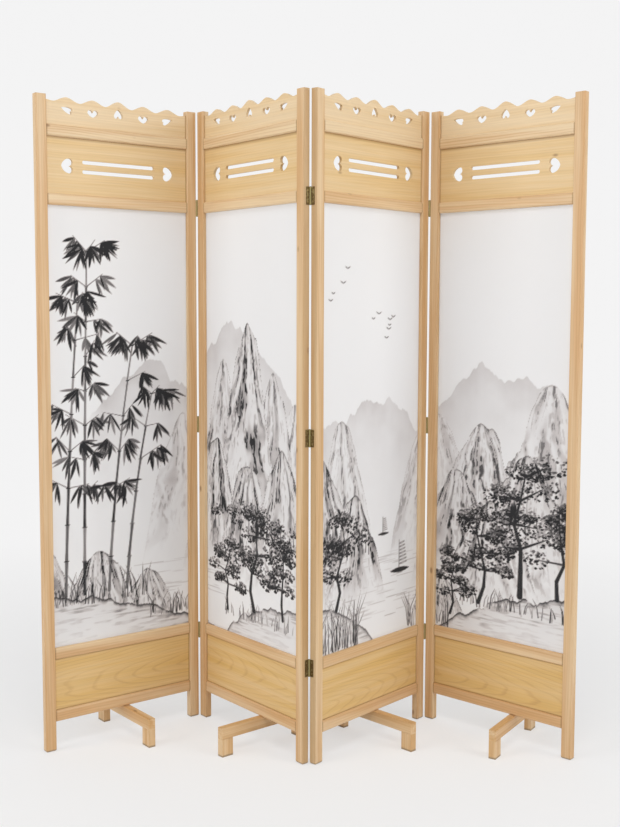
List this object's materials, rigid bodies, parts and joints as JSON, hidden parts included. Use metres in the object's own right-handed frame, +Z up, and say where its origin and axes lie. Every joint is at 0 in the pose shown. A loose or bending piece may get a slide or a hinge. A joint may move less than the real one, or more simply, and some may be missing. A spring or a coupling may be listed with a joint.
{
  "type": "folding room divider",
  "caption": "Free-standing folding screen of hinged pine panels with printed cloth, a scalloped heart-pierced crest and swivelling feet.",
  "frame": {"origin": "on the floor, at the middle of the standing screen's plan", "axes": "+Z up, -Y the front of the screen, +X to the right seen from the front"},
  "size_m": [1.4682, 0.406, 1.802],
  "materials": {
    "pine_frame": "clear satin lacquer",
    "pine_board": "clear satin lacquer",
    "picture_cloth": "printed, matt",
    "hinge_brass": "antique",
    "screw_brass": "antique",
    "bolt_steel": "zinc"
  },
  "bodies": {
    "panel_1": {"stile_left_1": "pine_frame", "stile_right_1": "pine_frame", "bottom_rail_1": "pine_frame", "base_board_1": "pine_board", "lower_rail_1": "pine_frame", "upper_rail_1": "pine_frame", "fret_board_1": "pine_board", "crest_rail_1": "pine_frame", "crest_board_1": "pine_board", "picture_1": "picture_cloth", "hinge_leaves_1": "hinge_brass", "hinge_screws_1": "screw_brass", "foot_bolt_1": "bolt_steel", "hinge_pins_12": "hinge_brass"},
    "foot_1": {"foot_1": "pine_frame"},
    "panel_2": {"stile_left_2": "pine_frame", "stile_right_2": "pine_frame", "bottom_rail_2": "pine_frame", "base_board_2": "pine_board", "lower_rail_2": "pine_frame", "upper_rail_2": "pine_frame", "fret_board_2": "pine_board", "crest_rail_2": "pine_frame", "crest_board_2": "pine_board", "picture_2": "picture_cloth", "hinge_leaves_2": "hinge_brass", "hinge_screws_2": "screw_brass", "foot_bolt_2": "bolt_steel", "hinge_pins_23": "hinge_brass"},
    "foot_2": {"foot_2": "pine_frame"},
    "panel_3": {"stile_left_3": "pine_frame", "stile_right_3": "pine_frame", "bottom_rail_3": "pine_frame", "base_board_3": "pine_board", "lower_rail_3": "pine_frame", "upper_rail_3": "pine_frame", "fret_board_3": "pine_board", "crest_rail_3": "pine_frame", "crest_board_3": "pine_board", "picture_3": "picture_cloth", "hinge_leaves_3": "hinge_brass", "hinge_screws_3": "screw_brass", "foot_bolt_3": "bolt_steel", "hinge_pins_34": "hinge_brass"},
    "foot_3": {"foot_3": "pine_frame"},
    "panel_4": {"stile_left_4": "pine_frame", "stile_right_4": "pine_frame", "bottom_rail_4": "pine_frame", "base_board_4": "pine_board", "lower_rail_4": "pine_frame", "upper_rail_4": "pine_frame", "fret_board_4": "pine_board", "crest_rail_4": "pine_frame", "crest_board_4": "pine_board", "picture_4": "picture_cloth", "hinge_leaves_4": "hinge_brass", "hinge_screws_4": "screw_brass", "foot_bolt_4": "bolt_steel"},
    "foot_4": {"foot_4": "pine_frame"}
  },
  "joints": [
    {"name": "fold_12", "type": "hinge", "parent": "panel_2", "child": "panel_1", "pos_m": [-0.3272, 0.18822, 0], "axis": [0, 0, 1], "range_deg": [-89.5, 90.5]},
    {"name": "fold_23", "type": "hinge", "parent": "panel_2", "child": "panel_3", "pos_m": [0.00525, -0.19124, 0], "axis": [0, 0, 1], "range_deg": [-100.3, 79.7]},
    {"name": "fold_34", "type": "hinge", "parent": "panel_3", "child": "panel_4", "pos_m": [0.35266, 0.17457, 0], "axis": [0, 0, -1], "range_deg": [-91.9, 88.1]},
    {"name": "foot_swivel_1", "type": "hinge", "parent": "panel_1", "child": "foot_1", "pos_m": [-0.52895, 0.04358, 0], "axis": [0, 0, 1], "range_deg": [-90, 90]},
    {"name": "foot_swivel_2", "type": "hinge", "parent": "panel_2", "child": "foot_2", "pos_m": [-0.12596, -0.04521, 0], "axis": [0, 0, 1], "range_deg": [-92, 88]},
    {"name": "foot_swivel_3", "type": "hinge", "parent": "panel_3", "child": "foot_3", "pos_m": [0.19339, 0.00827, 0], "axis": [0, 0, 1], "range_deg": [-85, 95]},
    {"name": "foot_swivel_4", "type": "hinge", "parent": "panel_4", "child": "foot_4", "pos_m": [0.5873, -0.02832, 0], "axis": [0, 0, 1], "range_deg": [-101, 79]}
  ]
}
